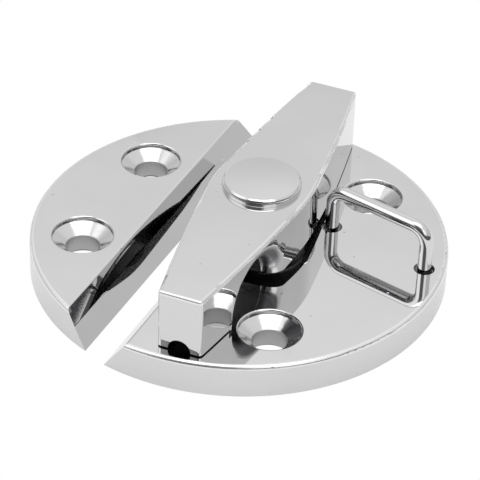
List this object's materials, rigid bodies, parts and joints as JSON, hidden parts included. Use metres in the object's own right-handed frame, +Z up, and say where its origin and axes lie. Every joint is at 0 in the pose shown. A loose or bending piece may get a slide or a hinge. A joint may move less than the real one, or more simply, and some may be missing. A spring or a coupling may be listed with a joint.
{
  "type": "twist button latch",
  "caption": "Polished steel turn button on a split round plate: a bar swings across the gap to hold a door shut, with a wire staple and an arch for a padlock.",
  "frame": {"origin": "centre of the split round plate, on the mounting surface under it", "axes": "+Z up out of the mounting surface; +X across the gap from the keeper plate to the base plate; +Y along the gap"},
  "size_m": [0.076, 0.076, 0.0196],
  "materials": {
    "polished_steel": "mirror-polished stainless steel",
    "black_nylon": "black nylon, slightly worn",
    "spring_steel": "plain spring steel"
  },
  "bodies": {
    "plates": {"base_plate": "polished_steel", "keeper_plate": "polished_steel", "padlock_staple": "polished_steel", "friction_washer": "black_nylon", "spring_washer": "spring_steel"},
    "button": {"turn_bar": "polished_steel", "pivot_stud": "polished_steel", "retaining_washer": "polished_steel"}
  },
  "joints": [
    {"name": "bar_turn", "type": "hinge", "parent": "plates", "child": "button", "pos_m": [0.0038, 0.0009, 0.0064], "axis": [0, 0, 1], "range_deg": [-4, 83.5]}
  ]
}
